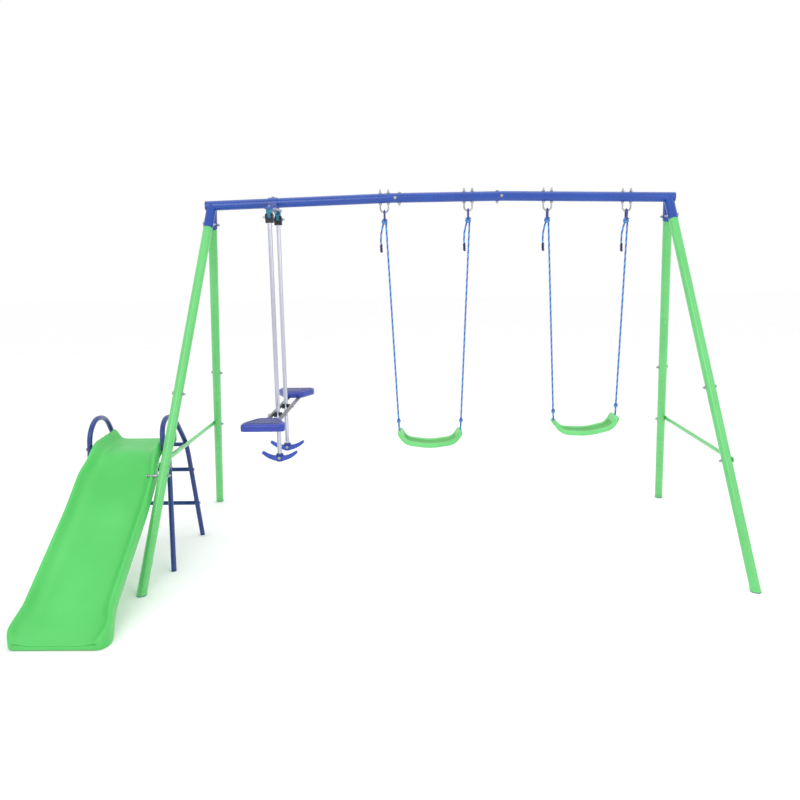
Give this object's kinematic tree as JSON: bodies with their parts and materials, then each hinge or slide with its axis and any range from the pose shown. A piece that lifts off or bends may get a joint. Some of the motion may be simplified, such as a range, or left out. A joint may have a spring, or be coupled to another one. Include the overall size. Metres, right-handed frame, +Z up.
{
  "type": "swing set",
  "caption": "Tubular A-frame play set with rope swings, a two-seat glider and a slide with a short ladder.",
  "frame": {"origin": "bottom centre of the whole set's box, on the ground", "axes": "+X along the top beam, away from the slide; +Y from the slide's foot to the back; +Z up"},
  "size_m": [3.1578, 1.9662, 1.819],
  "materials": {
    "blue_paint": "gloss powder coat",
    "green_paint": "gloss powder coat",
    "cap_plastic": "moulded",
    "zinc": "zinc plated",
    "slide_plastic": "blow moulded, satin",
    "seat_plastic": "moulded, satin",
    "link_steel": "plastic coated steel",
    "rope_end": "ribbed sleeve",
    "rope": "twisted polypropylene",
    "teal_plastic": "moulded",
    "black_plastic": "moulded",
    "chrome": "zinc or chrome plated",
    "glider_plastic": "blow moulded, satin"
  },
  "bodies": {
    "frame": {"beam_left": "blue_paint", "beam_middle": "blue_paint", "beam_right": "blue_paint", "beam_bolts": "zinc", "leg_upper_front_left": "green_paint", "leg_upper_back_left": "green_paint", "leg_upper_front_right": "green_paint", "leg_upper_back_right": "green_paint", "leg_lower_front_left": "green_paint", "leg_lower_back_left": "green_paint", "leg_lower_front_right": "green_paint", "leg_lower_back_right": "green_paint", "leg_bolts": "zinc", "brace_left": "green_paint", "brace_right": "green_paint", "tube_caps": "cap_plastic", "swing_ubolts": "zinc", "ubolt_nuts": "zinc", "glider_crossbar": "blue_paint", "glider_saddle": "blue_paint", "glider_clamp_bolts": "zinc", "glider_yokes": "teal_plastic", "glider_pivot_bolts": "zinc", "slide_bed": "slide_plastic", "slide_bolts": "zinc", "ladder_rail_left": "blue_paint", "ladder_rail_right": "blue_paint", "ladder_legs": "blue_paint", "ladder_rungs": "blue_paint", "platform_bars": "blue_paint"},
    "swing_left": {"swing_left_links": "link_steel", "swing_left_knots": "rope", "swing_left_rope_left": "rope", "swing_left_rope_right": "rope", "swing_left_tail_left": "rope", "swing_left_tail_right": "rope", "swing_left_whippings": "rope_end", "swing_left_seat": "seat_plastic"},
    "swing_right": {"swing_right_links": "link_steel", "swing_right_knots": "rope", "swing_right_rope_left": "rope", "swing_right_rope_right": "rope", "swing_right_tail_left": "rope", "swing_right_tail_right": "rope", "swing_right_whippings": "rope_end", "swing_right_seat": "seat_plastic"},
    "glider_front": {"glider_cap_front": "black_plastic", "glider_tube_front": "chrome", "glider_footrest_front": "glider_plastic", "glider_footrest_bolt_front": "zinc"},
    "glider_rear": {"glider_cap_rear": "black_plastic", "glider_tube_rear": "chrome", "glider_footrest_rear": "glider_plastic", "glider_footrest_bolt_rear": "zinc"},
    "glider_seats": {"glider_bars": "chrome", "glider_spacers": "black_plastic", "glider_bar_bolts": "zinc", "glider_seat_front": "glider_plastic", "glider_seat_rear": "glider_plastic", "glider_seat_screws": "zinc"}
  },
  "joints": [
    {"name": "swing_left_pivot", "type": "hinge", "parent": "frame", "child": "swing_left", "pos_m": [-0.08484, 0.24586, 1.707], "axis": [1, 0, 0.0024], "range_deg": [-40, 40]},
    {"name": "swing_right_pivot", "type": "hinge", "parent": "frame", "child": "swing_right", "pos_m": [0.72516, 0.24586, 1.70275], "axis": [0.9997, 0, -0.0244], "range_deg": [-40, 40]},
    {"name": "glider_front_pivot", "type": "hinge", "parent": "frame", "child": "glider_front", "pos_m": [-0.64084, 0.12586, 1.68841], "axis": [1, 0, 0], "range_deg": [-20, 20]},
    {"name": "glider_rear_pivot", "type": "hinge", "parent": "frame", "child": "glider_rear", "pos_m": [-0.64084, 0.36586, 1.68841], "axis": [1, 0, 0], "range_deg": [-20, 20]},
    {"name": "glider_seat_pivot", "type": "hinge", "parent": "glider_front", "child": "glider_seats", "pos_m": [-0.64084, 0.12586, 0.708], "axis": [1, 0, 0], "range_deg": [-20, 20]}
  ],
  "couplings": [
    {"joint": "glider_rear_pivot", "follows": "glider_front_pivot", "ratio": 1},
    {"joint": "glider_seat_pivot", "follows": "glider_front_pivot", "ratio": -1}
  ]
}
